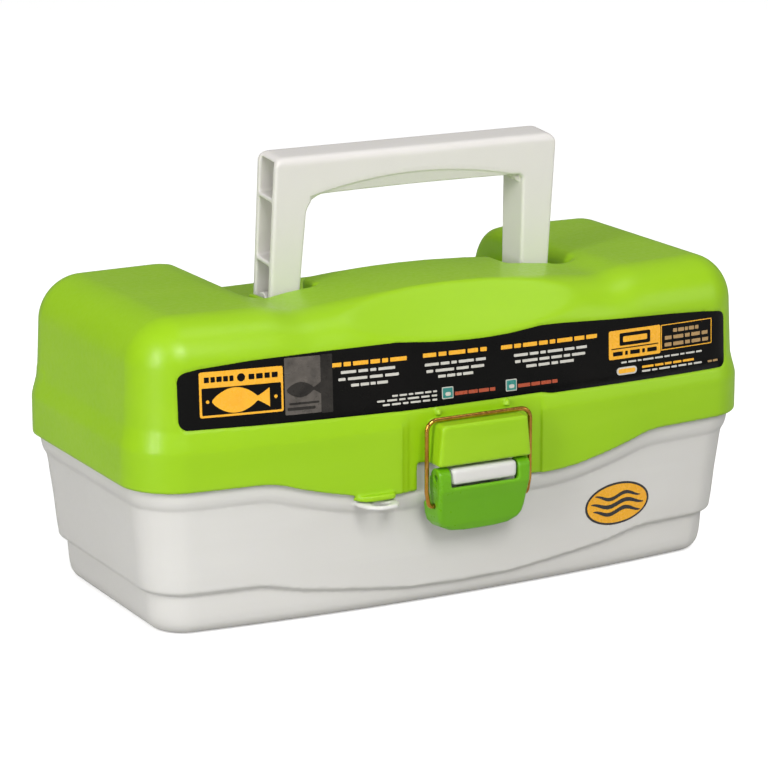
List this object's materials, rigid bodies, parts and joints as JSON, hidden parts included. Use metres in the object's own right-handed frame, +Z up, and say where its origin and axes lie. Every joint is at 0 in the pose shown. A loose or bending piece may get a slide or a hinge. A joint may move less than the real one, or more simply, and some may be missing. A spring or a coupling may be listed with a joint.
{
  "type": "fishing tackle box",
  "caption": "Portable fishing tackle box: hinged lid with folding handle, front lever latch with wire bail, and a lift-out divided tray raised by links as the lid opens.",
  "frame": {"origin": "on the table plane, at the middle of the flat underside, under the centre of the plan rectangle", "axes": "+X along the box to the right seen from the latch side, +Y to the rear (hinges), +Z up"},
  "size_m": [0.337, 0.1839, 0.2183],
  "materials": {
    "base_plastic": "satin moulded, warm light grey",
    "lid_plastic": "satin moulded, lime green",
    "lever_plastic": "semi-gloss moulded, leaf green",
    "handle_plastic": "satin moulded, ivory grey",
    "bail_wire": "drawn wire, brass plated",
    "pin_steel": "zinc plated",
    "label_film": "printed film, black",
    "badge_film": "printed film, amber",
    "tray_plastic": "satin moulded, pale grey",
    "divider_plastic": "satin moulded, frosted",
    "link_plastic": "satin moulded, grey"
  },
  "bodies": {
    "base": {"base_shell": "base_plastic", "base_badge": "badge_film", "hinge_pin_left": "pin_steel", "hinge_pin_right": "pin_steel", "latch_pin": "pin_steel", "arm_base_stud_left": "pin_steel", "arm_base_stud_right": "pin_steel"},
    "lid": {"lid_shell": "lid_plastic", "lid_label": "label_film", "handle_pin_left": "pin_steel", "handle_pin_right": "pin_steel", "tray_bracket_left": "link_plastic", "tray_bracket_right": "link_plastic", "bracket_screws_left": "pin_steel", "bracket_screws_right": "pin_steel"},
    "handle": {"handle": "handle_plastic"},
    "latch_lever": {"latch_lever": "lever_plastic"},
    "latch_bail": {"latch_bail": "bail_wire"},
    "tray": {"tray": "tray_plastic", "tray_divider_front_1": "divider_plastic", "tray_divider_front_2": "divider_plastic", "tray_divider_front_3": "divider_plastic", "tray_divider_rear_1": "divider_plastic", "tray_divider_rear_2": "divider_plastic", "tray_divider_rear_3": "divider_plastic", "arm_tray_stud_left": "pin_steel", "arm_tray_stud_right": "pin_steel", "bracket_tray_stud_left": "pin_steel", "bracket_tray_stud_right": "pin_steel"},
    "tray_arm_left": {"tray_arm_left": "link_plastic"},
    "tray_arm_right": {"tray_arm_right": "link_plastic"}
  },
  "joints": [
    {"name": "lid_hinge", "type": "hinge", "parent": "base", "child": "lid", "pos_m": [0, 0.082, 0.074], "axis": [-1, 0, 0], "range_deg": [0, 105]},
    {"name": "handle_fold", "type": "hinge", "parent": "lid", "child": "handle", "pos_m": [0, -0.0146, 0.144], "axis": [-1, 0, 0], "range_deg": [0, 95]},
    {"name": "latch_lever_swing", "type": "hinge", "parent": "base", "child": "latch_lever", "pos_m": [0, -0.0925, 0.069], "axis": [-1, 0, 0], "range_deg": [0, 100]},
    {"name": "latch_bail_swing", "type": "hinge", "parent": "latch_lever", "child": "latch_bail", "pos_m": [0, -0.0902, 0.0547], "axis": [-1, 0, 0], "range_deg": [-120, 0]},
    {"name": "tray_swing", "type": "hinge", "parent": "lid", "child": "tray", "pos_m": [0, 0.02562, 0.05348], "axis": [-1, 0, 0], "range_deg": [-105, 0]},
    {"name": "tray_arm_left_swing", "type": "hinge", "parent": "base", "child": "tray_arm_left", "pos_m": [-0.1535, 0.027, 0.064], "axis": [-1, 0, 0], "range_deg": [0, 105]},
    {"name": "tray_arm_right_swing", "type": "hinge", "parent": "base", "child": "tray_arm_right", "pos_m": [0.1535, 0.027, 0.064], "axis": [-1, 0, 0], "range_deg": [0, 105]}
  ],
  "couplings": [
    {"joint": "latch_bail_swing", "follows": "latch_lever_swing", "ratio": -1.2},
    {"joint": "tray_swing", "follows": "lid_hinge", "ratio": -1},
    {"joint": "tray_arm_left_swing", "follows": "lid_hinge", "ratio": 1},
    {"joint": "tray_arm_right_swing", "follows": "lid_hinge", "ratio": 1}
  ]
}
